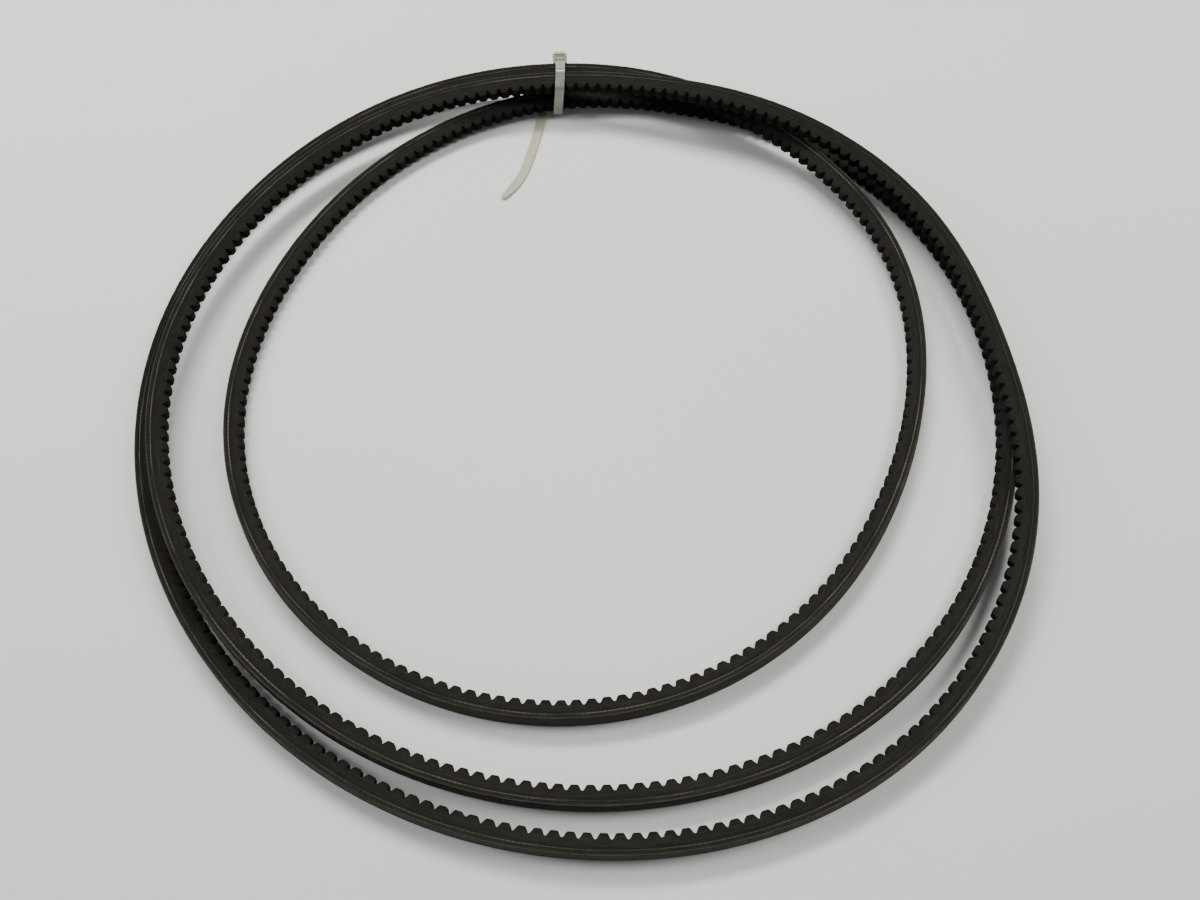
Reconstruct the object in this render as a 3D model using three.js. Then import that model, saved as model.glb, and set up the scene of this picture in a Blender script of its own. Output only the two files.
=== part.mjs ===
// A raw-edge cogged wedge belt, one endless belt coiled into three turns on its side,
// and held by one nylon cable tie whose tail lies on the table. Millimetres, +Z up.
import * as THREE from 'three';

// ---- Driving dimensions ----

// Belt section. Depth runs from the back of the belt (0) to the tips of the cogs.
const TOP_WIDTH = 16.3;
const BELT_HEIGHT = 13.0;
const FLANK_ANGLE = THREE.MathUtils.degToRad(20);
const LAYER_GAP = 0.3;
const CANVAS_BOTTOM = 0.8;
const TENSION_BOTTOM = 2.15;
const CORD_DEPTH = 3.1;
const CORD_RADIUS = 0.65;
const CORD_TURNS = 8;
const CORD_PITCH = 1.7;
const CORD_SIDES = 3;
const ADHESION_BOTTOM = 5.3;
const NOTCH_DEPTH = 3.6;

// Cogs. The share of one pitch before and after the flat tip.
const COG_COUNT = 564;
const TIP_START = 0.32;
const TIP_END = 0.68;
const COGS_PER_STATION = 6;

// The coil. Its centre is where the reaches are measured from.
const COIL_CENTRE = new THREE.Vector2(11.5, -18.3);
const TURNS = 3;
const ROLL_LEAST = 5;
const ROLL_EXTRA = 7;
const TANGENT_STEP = 0.2;
const SPLINE_PASSES = 60;
const FINE_STEPS_PER_COG = 8;

// The belt's way round the coil: at each angle, how far the back of the belt is from the centre,
// and how high its middle is, on each turn. Angle 0 is the far side (+Y) and 90 is the left (-X).
const ANGLES = [0, 30, 60, 90, 135, 180, 225, 250, 275, 300, 315, 330, 345];
const REACHES = [
  [321, 338.5, 338, 323, 302.5, 301, 312.5, 305, 295, 303.5, 302, 293.5, 293],
  [301, 315.5, 318.5, 309, 284.5, 275, 286.5, 293.5, 301.5, 310, 312, 311, 308],
  [306, 291.5, 272, 261.5, 242, 225, 218, 224, 245, 273, 285, 297, 308.5],
];
const HEIGHTS = [
  [23.3, 15.5, 8.5, 9.5, 8.5, 10, 12.5, 22.5, 26, 26, 31, 38.6, 36.7],
  [31.5, 27.5, 23, 24, 15, 9, 8.5, 8.3, 8.3, 8.3, 8.3, 8.5, 8.7],
  [11, 9.5, 8.4, 8.3, 9, 8.3, 8.3, 8.3, 9, 13.5, 18, 21.5, 25.7],
];

// Cable tie. Its loop stands on end through TIE_POINT, points outwards along TIE_HEADING, and
// leans to the right by TIE_LEAN for each millimetre of height. The tail has a place of its own.
const TIE_POINT = new THREE.Vector2(-19.4, 310);
const TIE_HEADING = THREE.MathUtils.degToRad(1.7);
const TIE_LEAN = 0.117;
const TAIL_POINT = new THREE.Vector2(-17.5, 310);
const TAIL_HEADING = THREE.MathUtils.degToRad(7);
const STRAP_WIDTH = 7.8;
const STRAP_THICKNESS = 1.3;
const STRAP_CORNER = 2.6;
const STRAP_CORNER_STEPS = 3;
const NYLON_GAP = 0.3;
const HEAD_SIZE = { length: 6.4, width: 12.4, above: 8.0, below: 4.2 };
const HEAD_CHAMFER = 1;
const SLOT = { width: 8.4, above: 1.1, below: 2.9 };
const PAWL_WIDTH = 6.2;
const STRAP_PAST_HEAD = 0.4;

// Where the strap turns, seen along the tie's plane: outwards from TIE_POINT, and height.
const STRAP_CORNERS = [
  [15.97, 22.6], [14.9, 21.6], [15.5, 13.4], [-3.4, 2.0], [-6.6, 2.0], [-21.6, 5.6], [-23.0, 33.9],
  [-8.2, 40.6], [13.3, 32.2],
];
const HEAD_CENTRE = [19.3, 25.75];

// The tail of the strap: outwards from TAIL_POINT, to the left, and height, from the head down.
const TAIL_ROUTE = [
  [23.8, 1.8, 20.6], [25.4, 3.1, 16.6], [26.0, 5.3, 11.2], [24.9, 7.5, 5.8], [21.5, 9, 2.0],
  [15, 10, 0.65], [0, 11.6, 0.65], [-12, 12.7, 0.65], [-38, 14.8, 0.65], [-63, 17.5, 0.65],
  [-80, 20.2, 0.65], [-92, 23.2, 0.75], [-105, 29, 1.1], [-116.5, 35, 1.9],
];
const TAIL_STATIONS = 40;
const TAIL_TIP_LENGTH = 7;
const TAIL_TIP_SHARE = 0.35;

// ---- The belt's route ----

// A smooth closed curve through (angle, value) knots, repeating every three turns.
function closedSpline(angles, values) {
  const period = TURNS * 360;
  const count = angles.length;
  const span = angles.map((angle, i) => (i + 1 < count ? angles[i + 1] : angles[0] + period) - angle);
  const rise = values.map((value, i) => (values[(i + 1) % count] - value) / span[i]);
  const slope = rise.slice();
  for (let pass = 0; pass < SPLINE_PASSES; pass += 1) {
    for (let i = 0; i < count; i += 1) {
      const before = (i + count - 1) % count;
      const after = (i + 1) % count;
      const wanted = 3 * (span[i] * rise[before] + span[before] * rise[i]);
      const others = span[i] * slope[before] + span[before] * slope[after];
      slope[i] = (wanted - others) / (2 * (span[before] + span[i]));
    }
  }
  return (angle) => {
    const wrapped = THREE.MathUtils.euclideanModulo(angle, period);
    let i = count - 1;
    while (angles[i] > wrapped) i -= 1;
    const s = (wrapped - angles[i]) / span[i];
    const next = (i + 1) % count;
    return (2 * s ** 3 - 3 * s ** 2 + 1) * values[i] + (3 * s ** 2 - 2 * s ** 3) * values[next]
      + (s ** 3 - 2 * s ** 2 + s) * span[i] * slope[i] + (s ** 3 - s ** 2) * span[i] * slope[next];
  };
}

const knotAngles = [0, 1, 2].flatMap((turn) => ANGLES.map((angle) => angle + 360 * turn));
const reachAt = closedSpline(knotAngles, REACHES.flat());
const heightAt = closedSpline(knotAngles, HEIGHTS.flat());

// The middle of the belt's back at an angle round the coil.
function backPoint(angle) {
  const turn = THREE.MathUtils.degToRad(angle);
  const reach = reachAt(angle);
  return new THREE.Vector3(
    COIL_CENTRE.x - reach * Math.sin(turn),
    COIL_CENTRE.y + reach * Math.cos(turn),
    heightAt(angle),
  );
}

// Angles that divide the belt's length into equal pitches, one for each cog.
function cogAngles() {
  const fine = COG_COUNT * FINE_STEPS_PER_COG;
  const step = (TURNS * 360) / fine;
  const travelled = [0];
  for (let i = 1; i <= fine; i += 1) {
    travelled.push(travelled[i - 1] + backPoint(i * step).distanceTo(backPoint((i - 1) * step)));
  }
  const pitch = travelled[fine] / COG_COUNT;
  const angles = [];
  let i = 0;
  for (let cog = 0; cog < COG_COUNT; cog += 1) {
    while (travelled[i + 1] < cog * pitch) i += 1;
    const share = (cog * pitch - travelled[i]) / (travelled[i + 1] - travelled[i]);
    angles.push((i + share) * step);
  }
  return angles;
}

// Where a point of the section lies: depth below the back, and how far it is to the upper side.
function sectionFrame(angle) {
  const origin = backPoint(angle);
  const along = backPoint(angle + TANGENT_STEP).sub(backPoint(angle - TANGENT_STEP)).normalize();
  const level = new THREE.Vector3().crossVectors(along, new THREE.Vector3(0, 0, 1)).normalize();
  const upright = new THREE.Vector3().crossVectors(level, along);
  const lean = Math.sin(THREE.MathUtils.degToRad(angle)) ** 2;
  const roll = THREE.MathUtils.degToRad(ROLL_LEAST + ROLL_EXTRA * lean);
  const cos = Math.cos(roll);
  const sin = Math.sin(roll);
  const outward = level.clone().multiplyScalar(cos).addScaledVector(upright, sin);
  const side = upright.clone().multiplyScalar(cos).addScaledVector(level, -sin);
  return (depth, across) => origin.clone()
    .addScaledVector(outward, -depth)
    .addScaledVector(side, across);
}

const halfWidth = (depth) => TOP_WIDTH / 2 - depth * Math.tan(FLANK_ANGLE);

// ---- Making solids ----

function solid(points, triangles) {
  const geometry = new THREE.BufferGeometry();
  const numbers = points.flatMap((point) => point.toArray());
  geometry.setAttribute('position', new THREE.Float32BufferAttribute(numbers, 3));
  geometry.setIndex(triangles.flat());
  return geometry;
}

// A closed ring with the same outline at every station.
function ringSolid(rings) {
  const sides = rings[0].length;
  const triangles = [];
  rings.forEach((ring, k) => {
    const here = k * sides;
    const next = ((k + 1) % rings.length) * sides;
    for (let i = 0; i < sides; i += 1) {
      const j = (i + 1) % sides;
      triangles.push([here + i, here + j, next + j], [here + i, next + j, next + i]);
    }
  });
  return solid(rings.flat(), triangles);
}

// A bar with flat ends and the same outline at every station.
function barSolid(rings) {
  const sides = rings[0].length;
  const last = (rings.length - 1) * sides;
  const triangles = [];
  for (let k = 0; k + 1 < rings.length; k += 1) {
    for (let i = 0; i < sides; i += 1) {
      const a = k * sides + i;
      const b = k * sides + ((i + 1) % sides);
      triangles.push([a, b, b + sides], [a, b + sides, a + sides]);
    }
  }
  for (let i = 1; i + 1 < sides; i += 1) {
    triangles.push([0, i + 1, i], [last, last + i, last + i + 1]);
  }
  return solid(rings.flat(), triangles);
}

const pitchAngles = cogAngles();
const stationAngles = pitchAngles.filter((angle, cog) => cog % COGS_PER_STATION === 0);
const stations = stationAngles.map(sectionFrame);

// One flat layer of the belt, between two depths.
function layer(top, bottom) {
  return ringSolid(stations.map((at) => [
    at(top, halfWidth(top)),
    at(top, -halfWidth(top)),
    at(bottom, -halfWidth(bottom)),
    at(bottom, halfWidth(bottom)),
  ]));
}

// One turn of the tensile cord.
function cordTurn(index) {
  const across = (index - (CORD_TURNS - 1) / 2) * CORD_PITCH;
  const corners = Array.from({ length: CORD_SIDES }, (_, i) => (i * 2 * Math.PI) / CORD_SIDES);
  return ringSolid(stations.map((at) => corners.map((angle) => at(
    CORD_DEPTH - CORD_RADIUS * Math.cos(angle),
    across - CORD_RADIUS * Math.sin(angle),
  ))));
}

// The cogged layer: a plain ring down to the notch roots, and one cog on each pitch of it.
function coggedLayer() {
  const top = ADHESION_BOTTOM + LAYER_GAP;
  const root = BELT_HEIGHT - NOTCH_DEPTH;
  const points = [];
  const triangles = [];
  const pair = (at, depth) => {
    points.push(at(depth, halfWidth(depth)), at(depth, -halfWidth(depth)));
    return points.length - 2;
  };
  const tops = stations.map((at) => pair(at, top));
  const cogs = pitchAngles.map((angle, cog) => {
    const following = cog + 1 < COG_COUNT ? pitchAngles[cog + 1] : pitchAngles[0] + TURNS * 360;
    const frameAt = (share) => sectionFrame(angle + (following - angle) * share);
    return {
      root: pair(frameAt(0), root),
      tipStart: pair(frameAt(TIP_START), BELT_HEIGHT),
      tipEnd: pair(frameAt(TIP_END), BELT_HEIGHT),
    };
  });
  // Each pair is an upper point and, one further on, the lower point across the belt from it.
  const upper = (a, b, c) => triangles.push([a, b, c], [a + 1, c + 1, b + 1]);
  const across = (a, b) => triangles.push([a, a + 1, b + 1], [a, b + 1, b]);
  tops.forEach((start, k) => {
    const end = tops[(k + 1) % tops.length];
    across(start, end);
    const middle = COGS_PER_STATION / 2;
    const rootAt = (j) => cogs[(k * COGS_PER_STATION + j) % COG_COUNT].root;
    for (let j = 0; j < COGS_PER_STATION; j += 1) {
      upper(j < middle ? start : end, rootAt(j + 1), rootAt(j));
    }
    upper(start, end, rootAt(middle));
  });
  cogs.forEach((cog, j) => {
    const nextRoot = cogs[(j + 1) % COG_COUNT].root;
    upper(cog.root, nextRoot, cog.tipEnd);
    upper(cog.root, cog.tipEnd, cog.tipStart);
    across(cog.tipStart, cog.root);
    across(cog.tipEnd, cog.tipStart);
    across(nextRoot, cog.tipEnd);
  });
  return solid(points, triangles);
}

// ---- Cable tie ----

const up = new THREE.Vector3(0, 0, 1);
const outwardsAlong = (heading) => new THREE.Vector3(Math.sin(heading), Math.cos(heading), 0);
const onTable = (point) => new THREE.Vector3(COIL_CENTRE.x + point.x, COIL_CENTRE.y + point.y, 0);
const outwards = outwardsAlong(TIE_HEADING);
const leftwards = new THREE.Vector3().crossVectors(up, outwards);
const leaningUp = up.clone().addScaledVector(leftwards, -TIE_LEAN);
const tieOrigin = onTable(TIE_POINT);

// The strap runs down from its last corner through the head, so the head takes that slope.
const lastCorner = STRAP_CORNERS[STRAP_CORNERS.length - 1];
const slope = Math.atan2(HEAD_CENTRE[1] - lastCorner[1], HEAD_CENTRE[0] - lastCorner[0]);
const tiePoint = (out, height) => tieOrigin.clone()
  .addScaledVector(outwards, out)
  .addScaledVector(leaningUp, height);
const headOrigin = tiePoint(...HEAD_CENTRE);
const throughHead = headOrigin.clone().sub(tiePoint(...lastCorner)).normalize();
const headUp = new THREE.Vector3().crossVectors(throughHead, leftwards).normalize();
const headLeft = new THREE.Vector3().crossVectors(headUp, throughHead);

function shapeOf(outline) {
  return new THREE.Shape(outline.map(([x, y]) => new THREE.Vector2(x, y)));
}

function extruded(shape, depth) {
  return new THREE.ExtrudeGeometry(shape, { depth, bevelEnabled: false });
}

// A line through the corners, each one rounded by a short curve.
function roundedLine(corners, radius) {
  const line = new THREE.Path().moveTo(...corners[0]);
  for (let i = 1; i + 1 < corners.length; i += 1) {
    const corner = new THREE.Vector2(...corners[i]);
    const before = new THREE.Vector2(...corners[i - 1]).sub(corner);
    const after = new THREE.Vector2(...corners[i + 1]).sub(corner);
    const gap = Math.min(before.length() / 2, after.length() / 2, radius);
    const start = corner.clone().addScaledVector(before.normalize(), gap);
    const end = corner.clone().addScaledVector(after.normalize(), gap);
    line.lineTo(start.x, start.y);
    line.quadraticCurveTo(corner.x, corner.y, end.x, end.y);
  }
  line.lineTo(...corners[corners.length - 1]);
  return line.getPoints(STRAP_CORNER_STEPS);
}

// The outline of a band that follows a line, half its thickness to each side.
function bandOutline(line, thickness) {
  const offset = (sign) => line.map((point, i) => {
    const before = line[Math.max(i - 1, 0)];
    const after = line[Math.min(i + 1, line.length - 1)];
    const way = after.clone().sub(before).normalize();
    return [point.x - (way.y * sign * thickness) / 2, point.y + (way.x * sign * thickness) / 2];
  });
  return [...offset(1), ...offset(-1).reverse()];
}

function strapGeometry() {
  const beyond = HEAD_SIZE.length / 2 + STRAP_PAST_HEAD;
  const end = [HEAD_CENTRE[0] + beyond * Math.cos(slope), HEAD_CENTRE[1] + beyond * Math.sin(slope)];
  const line = roundedLine([...STRAP_CORNERS, end], STRAP_CORNER);
  const geometry = extruded(shapeOf(bandOutline(line, STRAP_THICKNESS)), STRAP_WIDTH);
  geometry.translate(0, 0, -STRAP_WIDTH / 2);
  const basis = new THREE.Matrix4().makeBasis(outwards, leaningUp, leftwards.clone().negate());
  return geometry.applyMatrix4(basis.setPosition(tieOrigin));
}

function headGeometry() {
  const wall = HEAD_SIZE.width / 2;
  const chamfer = HEAD_CHAMFER;
  const shape = shapeOf([
    [-wall, -HEAD_SIZE.below + chamfer], [-wall + chamfer, -HEAD_SIZE.below],
    [wall - chamfer, -HEAD_SIZE.below], [wall, -HEAD_SIZE.below + chamfer],
    [wall, HEAD_SIZE.above - chamfer], [wall - chamfer, HEAD_SIZE.above],
    [-wall + chamfer, HEAD_SIZE.above], [-wall, HEAD_SIZE.above - chamfer],
  ]);
  shape.holes.push(new THREE.Path([
    new THREE.Vector2(-SLOT.width / 2, -SLOT.below), new THREE.Vector2(-SLOT.width / 2, SLOT.above),
    new THREE.Vector2(SLOT.width / 2, SLOT.above), new THREE.Vector2(SLOT.width / 2, -SLOT.below),
  ]));
  const geometry = extruded(shape, HEAD_SIZE.length);
  geometry.translate(0, 0, -HEAD_SIZE.length / 2);
  const basis = new THREE.Matrix4().makeBasis(headLeft, headUp, throughHead);
  return geometry.applyMatrix4(basis.setPosition(headOrigin));
}

// The pawl lies under the strap in the head's slot, its three teeth up against the strap.
function pawlGeometry() {
  const shape = shapeOf([
    [-2.4, -2.5], [-1.4, -2.5], [2.0, -1.8], [2.0, -1.0], [1.4, -1.35], [1.1, -1.0],
    [0.5, -1.35], [0.2, -1.0], [-0.4, -1.4], [-2.4, -1.7],
  ]);
  const geometry = extruded(shape, PAWL_WIDTH);
  geometry.translate(0, 0, -PAWL_WIDTH / 2);
  const basis = new THREE.Matrix4().makeBasis(throughHead, headUp, headLeft.clone().negate());
  return geometry.applyMatrix4(basis.setPosition(headOrigin));
}

function tailGeometry() {
  const start = HEAD_SIZE.length / 2 + STRAP_PAST_HEAD + NYLON_GAP;
  const first = headOrigin.clone().addScaledVector(throughHead, start);
  const tailOutwards = outwardsAlong(TAIL_HEADING);
  const tailLeftwards = new THREE.Vector3().crossVectors(up, tailOutwards);
  const knots = TAIL_ROUTE.map(([out, left, height]) => onTable(TAIL_POINT)
    .addScaledVector(tailOutwards, out)
    .addScaledVector(tailLeftwards, left)
    .addScaledVector(up, height));
  const curve = new THREE.CatmullRomCurve3([first, ...knots], false, 'centripetal');
  const length = curve.getLength();
  const half = STRAP_THICKNESS / 2;
  let across = headLeft.clone();
  const rings = [];
  for (let k = 0; k <= TAIL_STATIONS; k += 1) {
    const share = k / TAIL_STATIONS;
    const centre = curve.getPointAt(share);
    centre.z = Math.max(centre.z, half);
    const along = k === 0 ? throughHead : curve.getTangentAt(share);
    across = across.clone().addScaledVector(along, -across.dot(along)).setComponent(2, 0).normalize();
    const normal = new THREE.Vector3().crossVectors(across, along).normalize();
    const fromTip = Math.min(1, (length * (1 - share)) / TAIL_TIP_LENGTH);
    const reach = (STRAP_WIDTH / 2) * Math.max(TAIL_TIP_SHARE, Math.sqrt(1 - (1 - fromTip) ** 2));
    const corner = (a, b) => centre.clone()
      .addScaledVector(across, a * reach)
      .addScaledVector(normal, b * half);
    rings.push([corner(1, 1), corner(1, -1), corner(-1, -1), corner(-1, 1)]);
  }
  return barSolid(rings);
}

// ---- The model ----

const rubber = { color: 0x24231f, roughness: 0.85, metalness: 0 };
const canvas = { color: 0x2b2a25, roughness: 0.95, metalness: 0 };
const polyester = { color: 0x8a7f6a, roughness: 0.9, metalness: 0 };
const nylon = { color: 0xe6dfc9, roughness: 0.45, metalness: 0 };

const model = new THREE.Group();

function add(name, geometry, look) {
  const mesh = new THREE.Mesh(geometry, new THREE.MeshStandardMaterial(look));
  mesh.name = name;
  model.add(mesh);
}

add('back_canvas', layer(0, CANVAS_BOTTOM), canvas);
add('tension_rubber', layer(CANVAS_BOTTOM + LAYER_GAP, TENSION_BOTTOM), rubber);
for (let index = 0; index < CORD_TURNS; index += 1) {
  add(`tensile_cord_${index + 1}`, cordTurn(index), polyester);
}
add('adhesion_rubber', layer(CORD_DEPTH + CORD_RADIUS + LAYER_GAP, ADHESION_BOTTOM), rubber);
add('compression_rubber', coggedLayer(), rubber);
add('tie_strap', strapGeometry(), nylon);
add('tie_head', headGeometry(), nylon);
add('tie_pawl', pawlGeometry(), nylon);
add('tie_tail', tailGeometry(), nylon);

export default model;
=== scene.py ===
"""Looks of a cogged wedge belt coiled in three turns and held by one cable tie.

Lengths named here are in millimetres, as a belt maker gives them, and are turned into metres
where a mesh is made. A point of the belt is given by its angle round the coil, its depth below
the belt's back and its place across the belt.
"""

import math

import bpy
import numpy as np
from mathutils import Matrix, Vector


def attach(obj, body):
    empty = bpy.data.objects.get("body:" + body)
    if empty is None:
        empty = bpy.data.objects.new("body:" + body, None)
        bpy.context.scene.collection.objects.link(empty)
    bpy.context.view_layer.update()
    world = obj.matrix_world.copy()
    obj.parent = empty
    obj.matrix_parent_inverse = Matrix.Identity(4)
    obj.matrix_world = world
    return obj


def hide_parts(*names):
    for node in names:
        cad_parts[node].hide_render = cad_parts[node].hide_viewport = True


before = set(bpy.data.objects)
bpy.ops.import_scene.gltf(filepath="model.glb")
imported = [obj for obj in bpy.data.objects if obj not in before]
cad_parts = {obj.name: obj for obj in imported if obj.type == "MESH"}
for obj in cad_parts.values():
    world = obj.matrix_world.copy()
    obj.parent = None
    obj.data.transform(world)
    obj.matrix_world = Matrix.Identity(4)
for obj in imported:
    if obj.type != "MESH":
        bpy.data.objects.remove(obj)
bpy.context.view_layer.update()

MM = 0.001

# ---- Camera: where it stands over the table, in metres, and how it is turned ----
CAMERA_SENSOR = 36
CAMERA_PLACE = (0.0165, -0.3483, 0.563)
CAMERA_DIP = math.radians(62.57)
CAMERA_TILT = math.radians(-2.386)
CAMERA_LENS = 27.0

# ---- Light: each panel's name, place and size in metres, power and colour ----
WORLD_COLOUR = (0.93, 0.95, 1.0)
WORLD_STRENGTH = 0.22
PANELS = [
    ("far_panel", (-0.35, 1.2, 1.75), (1.3, 0.4), 44, (1.0, 0.985, 0.95)),
    ("left_panel", (-1.5, 0.2, 1.45), (0.5, 1.3), 17, (0.97, 0.985, 1.0)),
    ("right_panel", (1.35, 0.2, 1.7), (0.7, 1.1), 26, (1.0, 0.98, 0.96)),
]
FLOOR_HALF = 2.5
FLOOR_DROP = 0.0002

# ---- Belt section ----
TOP_WIDTH = 16.3
BELT_HEIGHT = 13.0
FLANK_SLOPE = math.tan(math.radians(20))
CANVAS_BOTTOM = 0.9
TENSION_BOTTOM = 2.4
ADHESION_BOTTOM = 5.45
CORD_DEPTH = 3.1
CORD_RADIUS = 0.62
CORD_PITCH = 1.7
CORD_TURNS = 8
CORD_PROUD = 0.16
# How much of the cord's bare fibre shows at the raw edge, by share of the belt's length.
CORD_SHOWN = [
    (0.0, 0.95), (0.13, 0.8), (0.155, 0.45), (0.235, 0.5),
    (0.26, 0.08), (0.335, 0.08), (0.36, 0.95), (1.0, 0.95),
]
CORD_SIDES = 8
FLANK_SEED = 7
FLANK_RIPPLE = 0.035

# ---- The back canvas and the fibre ends along its cut edges ----
CANVAS_FLAT = 3.4
CANVAS_SHOULDER = 0.75
CANVAS_CHAMFER = 0.42
CANVAS_NICK = 0.16
CANVAS_WEAR = 0.03
FRAY_COUNT = 5200
FRAY_THICKNESS = 0.07
FRAY_LONGEST = 1.5
FRAY_TURNS = (0, 2.094, 4.189)

# ---- Cogs ----
COG_COUNT = 564
# One cog from the middle of a notch to the middle of the cog: share of a pitch, and depth.
COG_PROFILE = [
    (0.0, 9.4), (0.04, 9.45), (0.075, 9.7), (0.12, 10.35), (0.17, 11.3),
    (0.22, 12.15), (0.26, 12.65), (0.31, 12.93), (0.37, 13.0), (0.5, 13.0),
]
SPLICE_COGS = (282, 94)
SPLICE_FILL = 0.55
COG_LEAN = 0.008
COG_SWELL = 0.06
COG_EDGE = 0.38

# ---- The coil ----
COIL_CENTRE = (11.5, -18.3)
TURNS = 3
ROLL_LEAST = 5
ROLL_EXTRA = 7
SPLINE_PASSES = 60
TANGENT_STEP = 0.2
FINE_STEPS_PER_COG = 8
RIPPLE_WAVES = 14
RIPPLE_COUNTS = (90, 1400)
RIPPLE_PHASES = 6.28
ANGLES = [0, 30, 60, 90, 135, 180, 225, 250, 275, 300, 315, 330, 345]
REACHES = [
    [321, 338.5, 338, 323, 302.5, 301, 312.5, 305, 295, 303.5, 302, 293.5, 293],
    [301, 315.5, 318.5, 309, 284.5, 275, 286.5, 293.5, 301.5, 310, 312, 311, 308],
    [306, 291.5, 272, 261.5, 242, 225, 218, 224, 245, 273, 285, 297, 308.5],
]
HEIGHTS = [
    [23.3, 15.5, 8.5, 9.5, 8.5, 10, 12.5, 22.5, 26, 26, 31, 38.6, 36.7],
    [31.5, 27.5, 23, 24, 15, 9, 8.5, 8.3, 8.3, 8.3, 8.3, 8.5, 8.7],
    [11, 9.5, 8.4, 8.3, 9, 8.3, 8.3, 8.3, 9, 13.5, 18, 21.5, 25.7],
]

# ---- Cable tie ----
TIE_POINT = (-19.4, 310)
TIE_HEADING = math.radians(1.7)
TIE_LEAN = 0.117
TAIL_POINT = (-17.5, 310)
TAIL_HEADING = math.radians(7)
STRAP_WIDTH = 7.8
STRAP_THICKNESS = 1.3
STRAP_CORNER = 2.6
STRAP_CORNER_POINTS = 9
STRAP_PAST_HEAD = 0.5
STRAP_CORNERS = [
    (16.4, 23.05), (14.9, 21.6), (15.5, 13.4), (-3.4, 2.0), (-6.6, 2.0), (-21.6, 5.6),
    (-23.0, 33.9), (-8.2, 40.6), (13.3, 32.2),
]
HEAD_CENTRE = (19.3, 25.75)
HEAD_LENGTH = 6.4
HEAD_WIDTH = 12.4
HEAD_ABOVE = 8.0
HEAD_BELOW = 4.2
SLOT_WIDTH = 8.4
SLOT_ABOVE = 1.1
SLOT_BELOW = 2.9
# The head's outer face: place through the head, and inset from its full width.
HEAD_OUTSIDE = [
    (-3.2, 0.7), (-3.1, 0.36), (-2.8, 0.08), (-2.3, 0.0), (1.0, 0.0), (1.2, 0.25),
    (2.7, 0.3), (3.08, 0.5), (3.2, 0.85),
]
# The slot: place through the head, and how far its mouth flares.
HEAD_INSIDE = [(3.2, 0.3), (2.85, 0.0), (-2.7, 0.0), (-3.2, 0.5)]
HEAD_TOP_RADIUS = 3.0
HEAD_BOTTOM_RADIUS = 1.4
SLOT_RADIUS = 0.35
HEAD_RIB_SIDES = 16
HEAD_RIB_STATIONS = 21
PAWL_WIDTH = 6.2
PAWL_PROFILE = [
    (-2.4, -2.5), (-1.4, -2.5), (2.0, -1.8), (2.0, -1.0), (1.4, -1.35), (1.1, -1.0),
    (0.5, -1.35), (0.2, -1.0), (-0.4, -1.4), (-2.4, -1.7),
]
PAWL_EDGE = 0.25
PAWL_EDGE_SHRINK = 0.88
RIB_PITCH = 1.2
RIB_CUTS = (0.12, 0.42)
RAIL_SHARE = 0.14
RAIL_SLOPE = 0.2
STRAP_EDGE = 0.3
TAIL_TAPER = 15.0
TAIL_LEAST_TAPER = 0.5
TAIL_ROUNDING = 2.4
TAIL_TIP_SHARE = 0.3
TAIL_ROUTE = [
    (23.8, 1.8, 20.6), (25.4, 3.1, 16.6), (26.0, 5.3, 11.2), (24.9, 7.5, 5.8), (21.5, 9, 2.0),
    (15, 10, 0.65), (0, 11.6, 0.65), (-12, 12.7, 0.65), (-38, 14.8, 0.65), (-63, 17.5, 0.65),
    (-80, 20.2, 0.65), (-92, 23.2, 0.75), (-105, 29, 1.1), (-116.5, 35, 1.9),
]


# ---- Camera, floor and light ----

def make_camera():
    ahead = Vector((0, math.cos(CAMERA_DIP), -math.sin(CAMERA_DIP)))
    above = Vector((0, math.sin(CAMERA_DIP), math.cos(CAMERA_DIP)))
    right = Vector((1, 0, 0))
    cos, sin = math.cos(CAMERA_TILT), math.sin(CAMERA_TILT)
    data = bpy.data.cameras.new("camera")
    data.lens = CAMERA_LENS
    data.sensor_width = CAMERA_SENSOR
    data.clip_start = 0.01
    camera = bpy.data.objects.new("camera", data)
    bpy.context.scene.collection.objects.link(camera)
    x_axis = right * cos + above * sin
    y_axis = above * cos - right * sin
    turn = Matrix((x_axis, y_axis, -ahead)).transposed()
    camera.matrix_world = Matrix.Translation(CAMERA_PLACE) @ turn.to_4x4()
    bpy.context.scene.camera = camera


def make_light(name, place, size, power, colour):
    data = bpy.data.lights.new(name, "AREA")
    data.shape = "RECTANGLE"
    data.size, data.size_y = size
    data.energy = power
    data.color = colour
    light = bpy.data.objects.new(name, data)
    light.location = place
    light.rotation_euler = Vector(place).to_track_quat("Z", "Y").to_euler()
    bpy.context.scene.collection.objects.link(light)


def make_surroundings():
    world = bpy.data.worlds.new("studio")
    world.use_nodes = True
    background = world.node_tree.nodes["Background"]
    background.inputs["Color"].default_value = (*WORLD_COLOUR, 1)
    background.inputs["Strength"].default_value = WORLD_STRENGTH
    bpy.context.scene.world = world
    for panel in PANELS:
        make_light(*panel)
    mesh = bpy.data.meshes.new("floor")
    half = FLOOR_HALF
    corners = [(-half, -half, 0), (half, -half, 0), (half, half, 0), (-half, half, 0)]
    mesh.from_pydata(corners, [], [(0, 1, 2, 3)])
    floor = bpy.data.objects.new("floor", mesh)
    floor.location.z = -FLOOR_DROP
    bpy.context.scene.collection.objects.link(floor)
    mesh.materials.append(paper_material())


# ---- Materials ----

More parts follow.
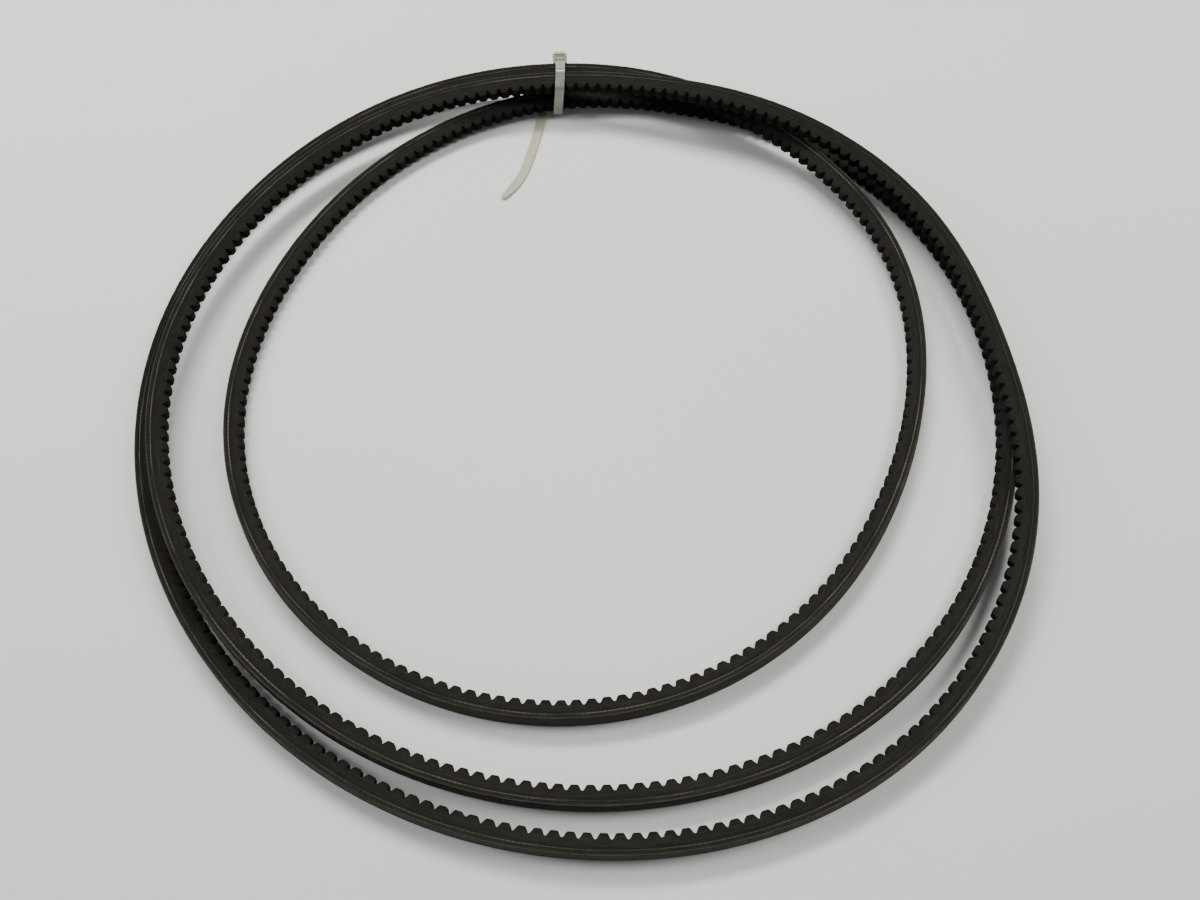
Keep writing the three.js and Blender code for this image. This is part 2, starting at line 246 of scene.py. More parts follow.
class Nodes:
    """A small helper that adds and joins shader nodes."""

    def __init__(self, name):
        self.material = bpy.data.materials.new(name)
        self.material.use_nodes = True
        self.tree = self.material.node_tree
        self.shader = self.tree.nodes["Principled BSDF"]

    def add(self, kind, **inputs):
        node = self.tree.nodes.new(kind)
        for key, value in inputs.items():
            node.inputs[key.replace("_", " ")].default_value = value
        return node

    def link(self, source, target):
        self.tree.links.new(source, target)

    def noise(self, vector, scale, detail=3.0, roughness=0.55):
        node = self.add("ShaderNodeTexNoise", Scale=scale, Detail=detail, Roughness=roughness)
        self.link(vector, node.inputs["Vector"])
        return node.outputs["Fac"]

    def stretched(self, vector, scale):
        node = self.add("ShaderNodeMapping", Scale=scale)
        self.link(vector, node.inputs["Vector"])
        return node.outputs["Vector"]

    def belt_place(self):
        """Along, across and depth in metres, stored on the belt's meshes."""
        node = self.tree.nodes.new("ShaderNodeAttribute")
        node.attribute_name = "belt_place"
        return node.outputs["Vector"]

    def math(self, operation, first, second):
        node = self.tree.nodes.new("ShaderNodeMath")
        node.operation = operation
        for socket, value in zip(node.inputs, (first, second)):
            if isinstance(value, float):
                socket.default_value = value
            else:
                self.link(value, socket)
        return node.outputs["Value"]

    def belt_part(self, axis):
        parts = self.tree.nodes.new("ShaderNodeSeparateXYZ")
        self.link(self.belt_place(), parts.inputs["Vector"])
        return parts.outputs[axis]

    def depth(self):
        """Depth below the belt's back, as a share of a little more than the belt's height."""
        return self.math("MULTIPLY", self.belt_part("Z"), 1 / (1.38 * BELT_HEIGHT * MM))

    def nearness_to_flank(self):
        """How far across the belt, as a share of half its width at that depth."""
        across = self.math("ABSOLUTE", self.belt_part("Y"), 0.0)
        narrowing = self.math("MULTIPLY", self.belt_part("Z"), FLANK_SLOPE)
        return self.math("DIVIDE", across, self.math("SUBTRACT", TOP_WIDTH / 2 * MM, narrowing))

    def object_place(self):
        return self.tree.nodes.new("ShaderNodeTexCoord").outputs["Object"]

    def ramp(self, value, stops):
        node = self.tree.nodes.new("ShaderNodeValToRGB")
        ramp = node.color_ramp
        while len(ramp.elements) < len(stops):
            ramp.elements.new(0.5)
        for element, (position, shade) in zip(ramp.elements, stops):
            element.position = position
            colour = shade if isinstance(shade, tuple) else (shade, shade, shade)
            element.color = (*colour, 1)
        self.link(value, node.inputs["Fac"])
        return node.outputs["Color"]

    def mix(self, share, first, second, blend="MIX"):
        node = self.tree.nodes.new("ShaderNodeMix")
        node.data_type = "RGBA"
        node.blend_type = blend
        for socket, value in (("Factor", share), ("A", first), ("B", second)):
            target = [s for s in node.inputs if s.name == socket and s.enabled][-1]
            if socket == "Factor":
                target = node.inputs["Factor"]
            if isinstance(value, tuple):
                target.default_value = (*value, 1)
            elif isinstance(value, float):
                target.default_value = value
            else:
                self.link(value, target)
        return [s for s in node.outputs if s.enabled][0]

    def bump(self, height, distance, strength=1.0, below=None):
        node = self.add("ShaderNodeBump", Strength=strength, Distance=distance)
        self.link(height, node.inputs["Height"])
        if below is not None:
            self.link(below, node.inputs["Normal"])
        return node.outputs["Normal"]

    def finish(self, colour=None, roughness=None, normal=None, **constants):
        if colour is not None:
            self.link(colour, self.shader.inputs["Base Color"])
        if roughness is not None:
            self.link(roughness, self.shader.inputs["Roughness"])
        if normal is not None:
            self.link(normal, self.shader.inputs["Normal"])
        for key, value in constants.items():
            self.shader.inputs[key.replace("_", " ")].default_value = value
        return self.material


def paper_material():
    nodes = Nodes("pale_table")
    place = nodes.object_place()
    broad = nodes.noise(place, 1.3, 2.0)
    colour = nodes.ramp(broad, [(0.3, (0.745, 0.765, 0.735)), (0.7, (0.80, 0.82, 0.785))])
    return nodes.finish(colour, Roughness=0.75)


def rubber_material(name, dark, light, fleck, fleck_share, depth_of_bump):
    """Ground rubber: lengthwise grinding marks, short fibre ends and a dusty mottle."""
    nodes = Nodes(name)
    place = nodes.belt_place()
    broad = nodes.noise(nodes.stretched(place, (9, 60, 60)), 1.0, 3.0)
    mottle = nodes.noise(nodes.stretched(place, (130, 420, 420)), 1.0, 4.0, 0.65)
    streaks = nodes.noise(nodes.stretched(place, (70, 2600, 2600)), 1.0, 3.0)
    flecks = nodes.noise(nodes.stretched(place, (1500, 900, 900)), 1.0, 2.0, 0.7)
    grain = nodes.noise(nodes.stretched(place, (4200, 4200, 4200)), 1.0, 2.0)
    colour = nodes.mix(nodes.ramp(mottle, [(0.32, 0.0), (0.70, 1.0)]), dark, light)
    colour = nodes.mix(nodes.ramp(broad, [(0.38, 0.0), (0.66, 0.55)]), colour, light)
    colour = nodes.mix(nodes.ramp(streaks, [(0.5, 0.0), (0.8, 0.6)]), colour, fleck)
    flecked = nodes.ramp(flecks, [(1 - fleck_share, 0.0), (1 - fleck_share * 0.6, 0.8)])
    colour = nodes.mix(flecked, colour, fleck)
    rough = nodes.ramp(mottle, [(0.25, 0.66), (0.75, 0.9)])
    relief = nodes.bump(streaks, depth_of_bump, 0.5)
    relief = nodes.bump(grain, depth_of_bump, 0.7, relief)
    cogs = nodes.ramp(nodes.depth(), [(0.52, 1.0), (0.72, 0.62)])
    colour = nodes.mix(1.0, colour, cogs, "MULTIPLY")
    flanks = nodes.ramp(nodes.nearness_to_flank(), [(0.88, 0.12), (0.965, 1.0)])
    colour = nodes.mix(1.0, colour, flanks, "MULTIPLY")
    return nodes.finish(colour, rough, relief, Specular_IOR_Level=0.13)


def canvas_material():
    """Rubbed-in bias cloth: two crossing sets of threads under a thin coat of rubber."""
    nodes = Nodes("back_canvas_cloth")
    place = nodes.belt_place()
    turned = nodes.add("ShaderNodeMapping", Rotation=(0, 0, math.radians(45)), Scale=(1, 1, 1))
    nodes.link(place, turned.inputs["Vector"])
    heights = []
    for axis in ("X", "Y"):
        wave = nodes.add("ShaderNodeTexWave", Scale=360.0, Distortion=0.6, Detail=1.0)
        wave.bands_direction = axis
        nodes.link(turned.outputs["Vector"], wave.inputs["Vector"])
        heights.append(wave.outputs["Fac"])
    weave = nodes.mix(0.5, heights[0], heights[1])
    mottle = nodes.noise(nodes.stretched(place, (40, 160, 160)), 1.0, 4.0, 0.65)
    fray = nodes.noise(nodes.stretched(place, (500, 1500, 1500)), 1.0, 3.0, 0.7)
    mottled = nodes.ramp(mottle, [(0.35, 0.0), (0.68, 1.0)])
    colour = nodes.mix(mottled, (0.0112, 0.0106, 0.008), (0.0384, 0.0356, 0.0264))
    colour = nodes.mix(nodes.ramp(weave, [(0.35, 0.0), (0.75, 0.45)]), colour, (0.072, 0.064, 0.046))
    colour = nodes.mix(nodes.ramp(fray, [(0.60, 0.0), (0.72, 0.85)]), colour, (0.15, 0.125, 0.085))
    relief = nodes.bump(weave, 0.00012, 0.8)
    relief = nodes.bump(fray, 0.0001, 0.6, relief)
    return nodes.finish(colour, None, relief, Roughness=0.9, Specular_IOR_Level=0.2)


def cord_material():
    """Twisted polyester, dark with the dip that bonds it, with paler bare fibres showing."""
    nodes = Nodes("tensile_cord_fibre")
    place = nodes.belt_place()
    twist = nodes.add("ShaderNodeTexWave", Scale=95.0, Distortion=1.2, Detail=2.0)
    nodes.link(nodes.stretched(place, (1.0, 3.0, 3.0)), twist.inputs["Vector"])
    bare = nodes.noise(nodes.stretched(place, (26, 400, 400)), 1.0, 4.0, 0.65)
    along = nodes.math("MULTIPLY", nodes.belt_part("X"), 1 / (BELT_LENGTH * MM))
    patches = nodes.ramp(bare, [(0.40, 0.0), (0.62, 1.0)])
    shown = nodes.mix(1.0, patches, nodes.ramp(along, CORD_SHOWN), "MULTIPLY")
    colour = nodes.mix(shown, (0.014, 0.013, 0.010), (0.105, 0.095, 0.068))
    shade = nodes.ramp(twist.outputs["Fac"], [(0.2, 0.45), (0.7, 0.0)])
    colour = nodes.mix(shade, colour, (0.012, 0.011, 0.008))
    relief = nodes.bump(twist.outputs["Fac"], 0.0001, 0.8)
    return nodes.finish(colour, None, relief, Roughness=0.75, Specular_IOR_Level=0.25)


def nylon_material(name, dark, light):
    """Natural nylon: milky, slightly see-through at thin edges, with a moulded gloss."""
    nodes = Nodes(name)
    place = nodes.object_place()
    cloud = nodes.noise(place, 130.0, 3.0)
    fine = nodes.noise(place, 1400.0, 2.0)
    colour = nodes.ramp(cloud, [(0.3, dark), (0.7, light)])
    rough = nodes.ramp(cloud, [(0.3, 0.32), (0.7, 0.45)])
    relief = nodes.bump(fine, 0.00003, 0.5)
    return nodes.finish(
        colour, rough, relief,
        Subsurface_Weight=0.35, Subsurface_Radius=(0.0022, 0.0018, 0.0012), Subsurface_Scale=1.0,
        Specular_IOR_Level=0.5, Coat_Weight=0.8, Coat_Roughness=0.07,
    )


# ---- The belt's route ----

def closed_spline(angles, values):
    """A smooth closed curve through (angle, value) knots, repeating every three turns."""
    period = TURNS * 360
    angles = np.array(angles, float)
    values = np.array(values, float)
    span = np.append(np.diff(angles), angles[0] + period - angles[-1])
    rise = (np.roll(values, -1) - values) / span
    slope = rise.copy()
    count = len(angles)
    for _ in range(SPLINE_PASSES):
        for i in range(count):
            before, after = (i - 1) % count, (i + 1) % count
            wanted = 3 * (span[i] * rise[before] + span[before] * rise[i])
            others = span[i] * slope[before] + span[before] * slope[after]
            slope[i] = (wanted - others) / (2 * (span[before] + span[i]))

    def at(angle):
        wrapped = np.mod(angle, period)
        i = np.searchsorted(angles, wrapped, side="right") - 1
        after = (i + 1) % count
        s = (wrapped - angles[i]) / span[i]
        return (
            (2 * s**3 - 3 * s**2 + 1) * values[i] + (3 * s**2 - 2 * s**3) * values[after]
            + (s**3 - 2 * s**2 + s) * span[i] * slope[i] + (s**3 - s**2) * span[i] * slope[after]
        )

    return at


KNOT_ANGLES = [angle + 360 * turn for turn in range(TURNS) for angle in ANGLES]
reach_at = closed_spline(KNOT_ANGLES, np.ravel(REACHES))
height_at = closed_spline(KNOT_ANGLES, np.ravel(HEIGHTS))


def back_points(angles):
    """The middle of the belt's back at each angle round the coil."""
    turn = np.radians(angles)
    reach = reach_at(angles)
    return np.stack([
        COIL_CENTRE[0] - reach * np.sin(turn),
        COIL_CENTRE[1] + reach * np.cos(turn),
        height_at(angles),
    ], axis=1)


fine_angles = np.linspace(0, TURNS * 360, COG_COUNT * FINE_STEPS_PER_COG + 1)
fine_points = back_points(fine_angles)
fine_lengths = np.append(0, np.cumsum(np.linalg.norm(np.diff(fine_points, axis=0), axis=1)))
BELT_LENGTH = fine_lengths[-1]


def unit(vectors):
    return vectors / np.linalg.norm(vectors, axis=-1, keepdims=True)


class Stations:
    """Places along the belt, given in pitches, and the belt's section at each of them."""

    def __init__(self, pitches):
        self.along = np.asarray(pitches, float) / COG_COUNT * BELT_LENGTH
        self.angles = np.interp(self.along, fine_lengths, fine_angles)
        self.origin = back_points(self.angles)
        after, before = back_points(self.angles + TANGENT_STEP), back_points(self.angles - TANGENT_STEP)
        along = unit(after - before)
        level = unit(np.cross(along, (0, 0, 1)))
        upright = np.cross(level, along)
        lean = np.sin(np.radians(self.angles)) ** 2
        roll = np.radians(ROLL_LEAST + ROLL_EXTRA * lean)[:, None]
        self.outward = level * np.cos(roll) + upright * np.sin(roll)
        self.side = upright * np.cos(roll) - level * np.sin(roll)

    def place(self, depth, across):
        depth = np.broadcast_to(depth, self.along.shape)[:, None]
        across = np.broadcast_to(across, self.along.shape)[:, None]
        return self.origin - self.outward * depth + self.side * across

    def ripple(self, seed, size):
        """A small unevenness along the belt that closes on itself."""
        draw = np.random.default_rng(seed)
        total = np.zeros_like(self.along)
        for _ in range(RIPPLE_WAVES):
            waves = int(draw.integers(*RIPPLE_COUNTS))
            phase = draw.uniform(0, RIPPLE_PHASES)
            total += np.sin(2 * np.pi * waves * self.along / BELT_LENGTH + phase)
        return total * size / math.sqrt(RIPPLE_WAVES)


def half_width(depth):
    return TOP_WIDTH / 2 - depth * FLANK_SLOPE


# ---- Making meshes ----

def new_piece(name, points, faces, material, body, replaced, place=None, sharp=40):
    mesh = bpy.data.meshes.new(name)
    mesh.from_pydata((np.asarray(points) * MM).tolist(), [], faces)
    if place is not None:
        stored = mesh.attributes.new("belt_place", "FLOAT_VECTOR", "POINT")
        stored.data.foreach_set("vector", (np.asarray(place) * MM).astype(np.float32).ravel())
    mesh.materials.append(material)
    mesh.polygons.foreach_set("use_smooth", [True] * len(mesh.polygons))
    mesh.set_sharp_from_angle(angle=math.radians(sharp))
    mesh.update()
    piece = bpy.data.objects.new(name, mesh)
    bpy.context.scene.collection.objects.link(piece)
    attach(piece, body)
    if replaced:
        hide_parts(*replaced)
    return piece


def ring_faces(count, sides, closed=True):
    """Faces round a sweep of `count` sections with `sides` points each."""
    last = count if closed else count - 1
    here = np.arange(last)[:, None] * sides
    after = (np.arange(1, last + 1) % count)[:, None] * sides
    i = np.arange(sides)[None]
    j = (i + 1) % sides
    return np.stack([here + i, here + j, after + j, after + i], axis=-1).reshape(-1, 4).tolist()


def capped_faces(count, sides):
    """Faces of an open sweep with a flat cap at each end."""
    faces = ring_faces(count, sides, closed=False)
    faces.append(list(range(sides))[::-1])
    faces.append([(count - 1) * sides + i for i in range(sides)])
    return faces


def belt_ring(name, stations, section, material, replaced, sharp=40):
    """A closed ring of the belt. The section is a list of depth and place across at each station."""
    sides = len(section)
    points = np.stack([stations.place(depth, across) for depth, across in section], axis=1)
    place = np.stack([
        np.stack(np.broadcast_arrays(stations.along, across, depth), axis=1)
        for depth, across in section
    ], axis=1)
    return new_piece(
        name, points.reshape(-1, 3), ring_faces(len(stations.along), sides),
        material, "coil", replaced, place.reshape(-1, 3), sharp,
    )


def mirrored(outline):
    """The same part of a section on the lower side of the belt."""
    return [(depth, -across) for depth, across in outline]


# ---- The belt's layers ----

def flank(stations, depth, inset=0.0):
    return half_width(depth) - inset + stations.ripple(FLANK_SEED, FLANK_RIPPLE)


def canvas_edge(stations, wear, nick):
    """The upper half of the canvas's section, from its middle to the bottom of its cut edge."""
    return [
        (wear, CANVAS_FLAT),
        (wear, half_width(0) - CANVAS_SHOULDER - nick),
        (0.12 + nick * 0.3, flank(stations, 0, 0.22) - nick),
        (CANVAS_CHAMFER, flank(stations, CANVAS_CHAMFER)),
        (CANVAS_BOTTOM, flank(stations, CANVAS_BOTTOM)),
    ]


def make_canvas(stations, material):
    nick, low_nick = (np.abs(stations.ripple(seed, CANVAS_NICK)) for seed in (11, 12))
    wear = stations.ripple(13, CANVAS_WEAR)
    section = mirrored(canvas_edge(stations, wear, low_nick)) + canvas_edge(stations, wear, nick)[::-1]
    belt_ring("belt_back_canvas", stations, section, material, ["back_canvas"], 50)


def make_fray(material):
    """Loose fibre ends that stand out along the two cut edges of the back canvas."""
    draw = np.random.default_rng(31)
    count = FRAY_COUNT
    stations = Stations(np.sort(draw.uniform(0, COG_COUNT, count)))
    side = draw.choice((-1.0, 1.0), count)
    depth = draw.uniform(0.1, CANVAS_BOTTOM, count)
    root = stations.place(depth, side * (half_width(depth) - 0.15))
    along = unit(np.cross(stations.outward, stations.side))
    reach = draw.gamma(2.2, 0.2, count)[:, None] + 0.2
    way = (
        stations.outward * draw.normal(0.25, 0.45, (count, 1))
        + stations.side * side[:, None] * draw.uniform(0.3, 1.0, (count, 1))
        + along * draw.normal(0, 0.75, (count, 1))
    )
    tip = root + unit(way) * np.minimum(reach, FRAY_LONGEST)
    base = [
        root + (along * math.cos(turn) + stations.outward * math.sin(turn)) * FRAY_THICKNESS
        for turn in FRAY_TURNS
    ]
    points = np.stack([*base, tip], axis=1).reshape(-1, 3)
    faces = []
    for first in range(0, count * 4, 4):
        a, b, c, d = range(first, first + 4)
        faces.extend([(a, b, d), (b, c, d), (c, a, d), (a, c, b)])
    place = np.repeat(np.stack([stations.along, side * half_width(0), depth], axis=1), 4, axis=0)
    points[:, 2] = np.maximum(points[:, 2], 0.02)
    new_piece("belt_canvas_fray", points, faces, material, "coil", [], place, sharp=180)


def make_tension_rubber(stations, material):
    outline = [(depth, flank(stations, depth)) for depth in (CANVAS_BOTTOM, TENSION_BOTTOM)]
    section = mirrored(outline) + outline[::-1]
    belt_ring("belt_tension_rubber", stations, section, material, ["tension_rubber"])


def make_adhesion_rubber(stations, material):
    outline = [
        (TENSION_BOTTOM, flank(stations, TENSION_BOTTOM)),
        (TENSION_BOTTOM + 0.12, flank(stations, TENSION_BOTTOM + 0.12, 0.10)),
        (CORD_DEPTH, flank(stations, CORD_DEPTH, 0.14)),
        (CORD_DEPTH + 0.62, flank(stations, CORD_DEPTH + 0.62, 0.10)),
        (CORD_DEPTH + 0.85, flank(stations, CORD_DEPTH + 0.85)),
        (ADHESION_BOTTOM, flank(stations, ADHESION_BOTTOM)),
    ]
    section = mirrored(outline) + outline[::-1]
    belt_ring("belt_adhesion_rubber", stations, section, material, ["adhesion_rubber"])


def make_cords(stations, material):
    turns = [2 * math.pi * i / CORD_SIDES for i in range(CORD_SIDES)]
    outermost = (CORD_TURNS - 1) / 2
    for index in range(CORD_TURNS):
        across = (index - outermost) * CORD_PITCH
        if index in (0, CORD_TURNS - 1):
            edge = flank(stations, CORD_DEPTH) - CORD_RADIUS + CORD_PROUD
            edge = edge + stations.ripple(20 + index, 0.05)
            across = edge * (1 if index else -1)
        section = [
            (CORD_DEPTH - CORD_RADIUS * math.cos(turn), across - CORD_RADIUS * math.sin(turn))
            for turn in turns
        ]
        name = f"tensile_cord_{index + 1}"
        belt_ring(f"belt_{name}", stations, section, material, [name], 80)


def make_cogged_rubber(material):
    rising = np.array(COG_PROFILE)
    falling = rising[-2:0:-1]
    shares = np.append(rising[:, 0], 1 - falling[:, 0])
    depths = np.append(rising[:, 1], falling[:, 1])
    draw = np.random.default_rng(3)
    lean = draw.normal(0, COG_LEAN, (COG_COUNT, 1))
    swell = draw.normal(0, COG_SWELL, (COG_COUNT, 1))
    crest = np.sin(np.pi * shares)[None]
    pitches = np.arange(COG_COUNT)[:, None] + shares[None] + lean * crest
    root = COG_PROFILE[0][1]
    cut = depths[None] + swell * (depths[None] - root) / (BELT_HEIGHT - root)
    late = shares > 0.5
    for cog in SPLICE_COGS:
        for index, half in ((cog, late), (cog + 1, ~late)):
            cut[index, half] = BELT_HEIGHT - (BELT_HEIGHT - cut[index, half]) * SPLICE_FILL
    depth = np.minimum(cut, BELT_HEIGHT).ravel()
    stations = Stations(pitches.ravel())
    outline = [
        (ADHESION_BOTTOM, flank(stations, ADHESION_BOTTOM)),
        (depth - COG_EDGE, flank(stations, depth - COG_EDGE)),
        (depth - COG_EDGE * 0.3, flank(stations, depth, 0.02)),
        (depth, half_width(depth) - COG_EDGE),
    ]
    section = mirrored(outline) + outline[::-1]
    belt_ring(
        "belt_cogged_rubber", stations, section, material, ["compression_rubber"], 48)


def make_belt():
    plain = Stations(np.arange(COG_COUNT * 4) / 4)
    sparse = Stations(np.arange(COG_COUNT * 2) / 2)
    top_rubber = rubber_material(
        "tension_rubber_edge", (0.0037, 0.0037, 0.003), (0.0133, 0.0129, 0.0099),
        (0.050, 0.046, 0.033), 0.40, 0.00008,
    )
    gum = rubber_material(
        "adhesion_rubber_edge", (0.0029, 0.0028, 0.0024), (0.0096, 0.0093, 0.0074),
        (0.036, 0.033, 0.025), 0.34, 0.00006,
    )
    cogged = rubber_material(
        "cogged_rubber_edge", (0.0032, 0.0032, 0.0027), (0.0133, 0.013, 0.0102),
        (0.046, 0.043, 0.031), 0.38, 0.0001,
    )
    cloth = canvas_material()
    make_canvas(plain, cloth)
    make_fray(cloth)
    make_tension_rubber(plain, top_rubber)
    make_cords(sparse, cord_material())
    make_adhesion_rubber(plain, gum)
    make_cogged_rubber(cogged)


# ---- Cable tie ----

UP = np.array([0.0, 0.0, 1.0])


def tie_frame(point, heading):
    """A point on the table, and the ways that lead outwards and to the left of it."""
    origin = np.array([COIL_CENTRE[0] + point[0], COIL_CENTRE[1] + point[1], 0])
    outwards = np.array([math.sin(heading), math.cos(heading), 0])
    return origin, outwards, np.cross(UP, outwards)


TIE_ORIGIN, OUTWARDS, LEFTWARDS = tie_frame(TIE_POINT, TIE_HEADING)
LEANING_UP = UP - LEFTWARDS * TIE_LEAN


def tie_place(out, height):
    return TIE_ORIGIN + OUTWARDS * out + LEANING_UP * height


HEAD_ORIGIN = tie_place(*HEAD_CENTRE)
THROUGH = unit(HEAD_ORIGIN - tie_place(*STRAP_CORNERS[-1]))
HEAD_UP = unit(np.cross(THROUGH, LEFTWARDS))
HEAD_LEFT = np.cross(HEAD_UP, THROUGH)


def head_place(through, left, above):
    return HEAD_ORIGIN + THROUGH * through + HEAD_LEFT * left + HEAD_UP * above


def even_points(line, step):
    """Points a step apart along a line."""
    lengths = np.append(0, np.cumsum(np.linalg.norm(np.diff(line, axis=0), axis=1)))
    count = max(2, int(round(lengths[-1] / step)) + 1)
    wanted = np.linspace(0, lengths[-1], count)
    return np.stack([np.interp(wanted, lengths, line[:, k]) for k in range(line.shape[1])], axis=1)


def rounded_line(corners, radius):
    """A line through the corners, each one rounded by a short curve."""
    corners = np.array(corners, float)
    points = [corners[0]]
    for before, corner, after in zip(corners, corners[1:], corners[2:]):
        reach = min(radius, np.linalg.norm(before - corner) / 2, np.linalg.norm(after - corner) / 2)
        start = corner + unit(before - corner) * reach
        end = corner + unit(after - corner) * reach
        for share in np.linspace(0, 1, STRAP_CORNER_POINTS):
            points.append(start * (1 - share) ** 2 + corner * 2 * share * (1 - share) + end * share**2)
    points.append(corners[-1])
    return np.array(points)


def strap_section(width, cut):
    """The strap across its width: smooth rails, a ribbed channel between them, a smooth back."""
    half, thick, edge = width / 2, STRAP_THICKNESS / 2, STRAP_EDGE
    rail = width * RAIL_SHARE
    return [
        (-half, thick - edge), (-half + edge, thick), (-half + rail, thick),
        (-half + rail + RAIL_SLOPE, thick - cut), (half - rail - RAIL_SLOPE, thick - cut),
        (half - rail, thick), (half - edge, thick), (half, thick - edge),
        (half, -thick + edge), (half - edge, -thick), (-half + edge, -thick), (-half, -thick + edge),
    ]


def strip(name, centres, across, normals, widths, material, replaced):
    """A strap of nylon that follows a line, ribbed on the side of its normals, closed at both ends."""
    rings = []
    for index, (centre, side, normal, width) in enumerate(zip(centres, across, normals, widths)):
        cut = RIB_CUTS[index % 2]
        rings.append([centre + side * a + normal * b for a, b in strap_section(width, cut)])
    sides = len(rings[0])
    faces = capped_faces(len(rings), sides)
    points = np.array(rings).reshape(-1, 3)
    piece = new_piece(name, points, faces, material, "coil", replaced, sharp=35)
    face_outwards(piece)


def face_outwards(piece):
    """Turns a closed mesh's faces outwards when its volume comes out negative."""
    mesh = piece.data
    points = np.empty(len(mesh.vertices) * 3)
    mesh.vertices.foreach_get("co", points)
    points = points.reshape(-1, 3)
    mesh.calc_loop_triangles()
    corners = np.empty(len(mesh.loop_triangles) * 3, int)
    mesh.loop_triangles.foreach_get("vertices", corners)
    a, b, c = points[corners.reshape(-1, 3)].transpose(1, 0, 2)
    if np.einsum("ij,ij->i", a, np.cross(b, c)).sum() < 0:
        mesh.flip_normals()


def make_band(material):
    (x0, y0), (x1, y1) = STRAP_CORNERS[-1], HEAD_CENTRE
    onward = 1 + (HEAD_LENGTH / 2 + STRAP_PAST_HEAD) / math.hypot(x1 - x0, y1 - y0)
    end = (x0 + (x1 - x0) * onward, y0 + (y1 - y0) * onward)
    line = even_points(rounded_line([*STRAP_CORNERS, end], STRAP_CORNER), RIB_PITCH / 2)
    way = unit(np.gradient(line, axis=0))
    centres = TIE_ORIGIN + line[:, :1] * OUTWARDS + line[:, 1:] * LEANING_UP
    normals = way[:, 1:] * OUTWARDS - way[:, :1] * UP
    across = np.repeat(LEFTWARDS[None], len(line), axis=0)
    widths = np.full(len(line), STRAP_WIDTH)
    strip("tie_band", centres, across, normals, widths, material, ["tie_strap"])


def blend(at, low, high, first, second):
    """The point between two others that stand at low and high."""
    return (high - at) / (high - low) * first + (at - low) / (high - low) * second


def smooth_route(knots, steps=24):
    """A centripetal Catmull-Rom curve through the knots."""
    knots = np.array(knots, float)
    padded = np.vstack([2 * knots[0] - knots[1], knots, 2 * knots[-1] - knots[-2]])
    points = []
    for p in zip(padded, padded[1:], padded[2:], padded[3:]):
        t = np.cumsum([0, *(np.linalg.norm(after - here) ** 0.5 for here, after in zip(p, p[1:]))])
        for at in np.linspace(t[1], t[2], steps, endpoint=False):
            a = [blend(at, t[k], t[k + 1], p[k], p[k + 1]) for k in range(3)]
            b = [blend(at, t[k], t[k + 2], a[k], a[k + 1]) for k in range(2)]
            points.append(blend(at, t[1], t[2], *b))
    points.append(knots[-1])
    return np.array(points)


def make_tail(material):
    origin, outwards, leftwards = tie_frame(TAIL_POINT, TAIL_HEADING)
    knots = [head_place(HEAD_LENGTH / 2 + STRAP_PAST_HEAD, 0, 0)]
    for out, left, height in TAIL_ROUTE:
        knots.append(origin + outwards * out + leftwards * left + UP * height)
    centres = even_points(smooth_route(knots), RIB_PITCH / 2)
    centres[:, 2] = np.maximum(centres[:, 2], STRAP_THICKNESS / 2)
    along = unit(np.gradient(centres, axis=0))
    side = HEAD_LEFT.copy()
    across = []
    for way in along:
        side = side - way * np.dot(side, way)
        side[2] = 0
        side = unit(side)
        across.append(side)
    across = np.array(across)
    normals = unit(np.cross(across, along))
    remaining = np.linalg.norm(centres - centres[-1], axis=1)
    taper = np.minimum(1, TAIL_LEAST_TAPER + (1 - TAIL_LEAST_TAPER) * remaining / TAIL_TAPER)
    tip = np.clip(remaining / TAIL_ROUNDING, 0, 1)
    widths = STRAP_WIDTH * taper * np.maximum(TAIL_TIP_SHARE, np.sqrt(1 - (1 - tip) ** 2))
    strip("tie_tail_strip", centres, across, normals, widths, material, ["tie_tail"])


def rounded_box(width, below, above, radii, steps=8):
    """Points round a rectangle with round corners: place to the left and height.

    Every corner and every side has the same number of points, so two such outlines can be joined.
    """
    half = width / 2
    top, bottom = radii
    corners = (
        (half, above, top), (-half, above, top), (-half, -below, bottom), (half, -below, bottom),
    )
    arcs = []
    for index, (x, y, radius) in enumerate(corners):
        cx, cy = x - math.copysign(radius, x), y - (radius if index < 2 else -radius)
        turns = np.radians(np.linspace(index * 90, index * 90 + 90, steps + 1))
        arcs.append(np.stack([cx + radius * np.cos(turns), cy + radius * np.sin(turns)], axis=1))
    line = []
    for arc, after in zip(arcs, arcs[1:] + arcs[:1]):
        line.extend(arc)
        line.extend(arc[-1] + (after[0] - arc[-1]) * k / steps for k in range(1, steps))
    return np.array(line)


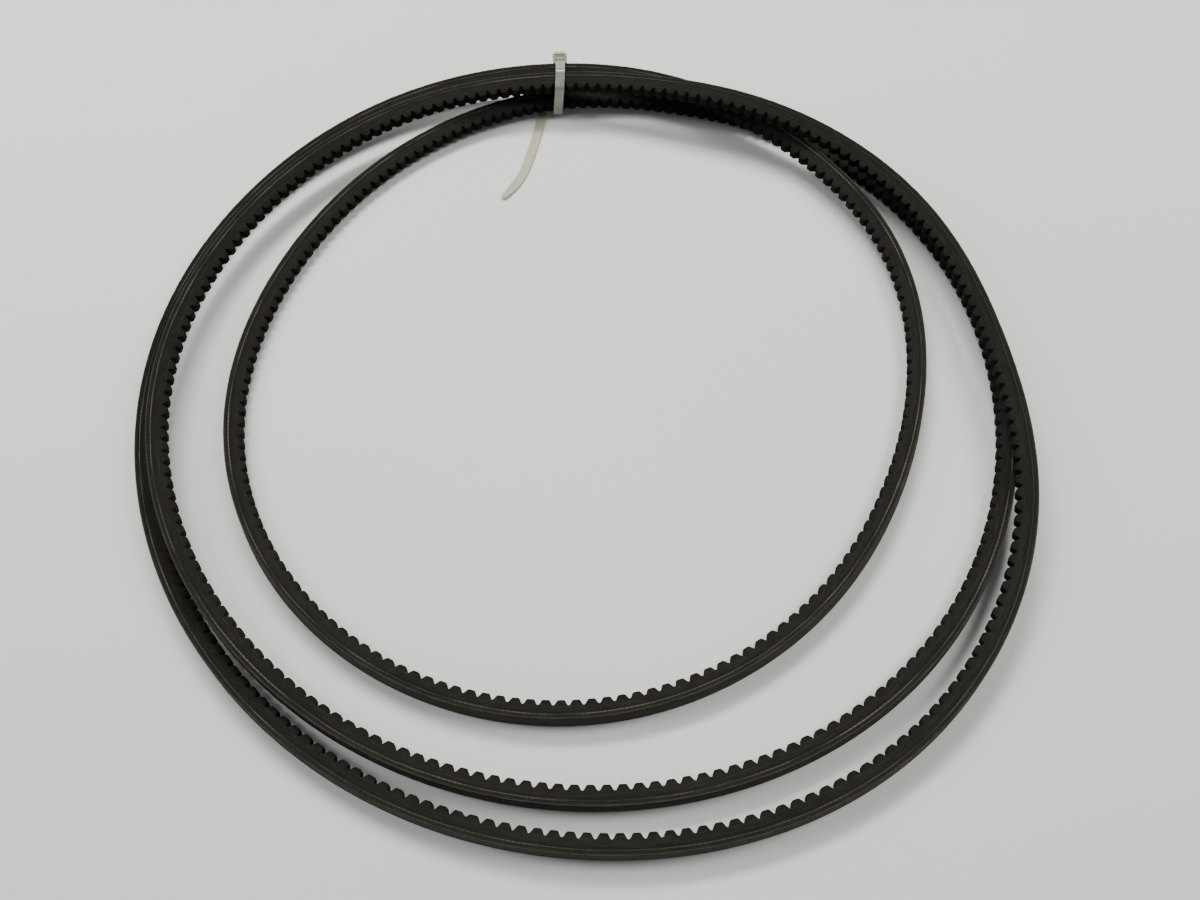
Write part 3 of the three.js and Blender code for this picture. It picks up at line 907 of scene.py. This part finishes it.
def make_head(material):
    rings = []
    for through, inset in HEAD_OUTSIDE:
        radii = (HEAD_TOP_RADIUS - inset * 0.5, HEAD_BOTTOM_RADIUS - inset * 0.5)
        outline = rounded_box(
            HEAD_WIDTH - 2 * inset, HEAD_BELOW - inset, HEAD_ABOVE - inset, radii)
        rings.append((through, outline))
    for through, flare in HEAD_INSIDE:
        radii = (SLOT_RADIUS + flare, SLOT_RADIUS + flare)
        outline = rounded_box(
            SLOT_WIDTH + 2 * flare, SLOT_BELOW + flare * 0.6, SLOT_ABOVE + flare, radii)
        rings.append((through, outline))
    points = [head_place(through, left, above) for through, outline in rings for left, above in outline]
    piece = new_piece(
        "tie_head_housing", points, ring_faces(len(rings), len(rings[0][1])),
        material, "coil", ["tie_head"], sharp=50,
    )
    face_outwards(piece)


def make_head_rib(name, material, above, height, proud, width):
    """A rounded moulded rib across the face that the strap goes into."""
    around = HEAD_RIB_SIDES
    rings = []
    for share in np.sin(np.linspace(-math.pi / 2, math.pi / 2, HEAD_RIB_STATIONS)):
        taper = max(0.02, (1 - abs(share) ** 6) ** 0.5)
        rings.append([
            head_place(
                -HEAD_LENGTH / 2 + 0.25 - proud * taper * math.cos(turn), share * width / 2,
                above + height / 2 * taper * math.sin(turn))
            for turn in np.linspace(0, 2 * math.pi, around, endpoint=False)
        ])
    faces = capped_faces(len(rings), around)
    points = np.array(rings).reshape(-1, 3)
    piece = new_piece(name, points, faces, material, "coil", [], sharp=80)
    face_outwards(piece)


def make_pawl(material):
    half = PAWL_WIDTH / 2
    middle = np.mean(PAWL_PROFILE, axis=0)
    points = []
    for left, shrink in (
        (-half, PAWL_EDGE_SHRINK), (-half + PAWL_EDGE, 1.0),
        (half - PAWL_EDGE, 1.0), (half, PAWL_EDGE_SHRINK),
    ):
        for corner in PAWL_PROFILE:
            x, y = middle + (np.array(corner) - middle) * shrink
            points.append(head_place(x, left, y))
    faces = capped_faces(4, len(PAWL_PROFILE))
    piece = new_piece(
        "tie_pawl_teeth", points, faces, material, "pawl", ["tie_pawl"], sharp=30)
    face_outwards(piece)


def make_tie():
    # The band is a darker copy of the same nylon: painted shade that stands in for the black rubber
    # seen through the translucent strap.
    painted_see_through = nylon_material("nylon_over_rubber", (0.175, 0.177, 0.158), (0.225, 0.226, 0.200))
    make_band(painted_see_through)
    material = nylon_material("nylon_thick", (0.43, 0.415, 0.325), (0.52, 0.505, 0.405))
    make_head(material)
    make_head_rib("tie_head_lip", material, above=6.2, height=1.9, proud=0.85, width=9.2)
    make_head_rib("tie_head_step", material, above=2.3, height=1.0, proud=0.5, width=8.6)
    make_pawl(material)
    make_tail(nylon_material("nylon_thin", (0.375, 0.365, 0.255), (0.450, 0.438, 0.315)))


make_camera()
make_surroundings()
make_belt()
make_tie()
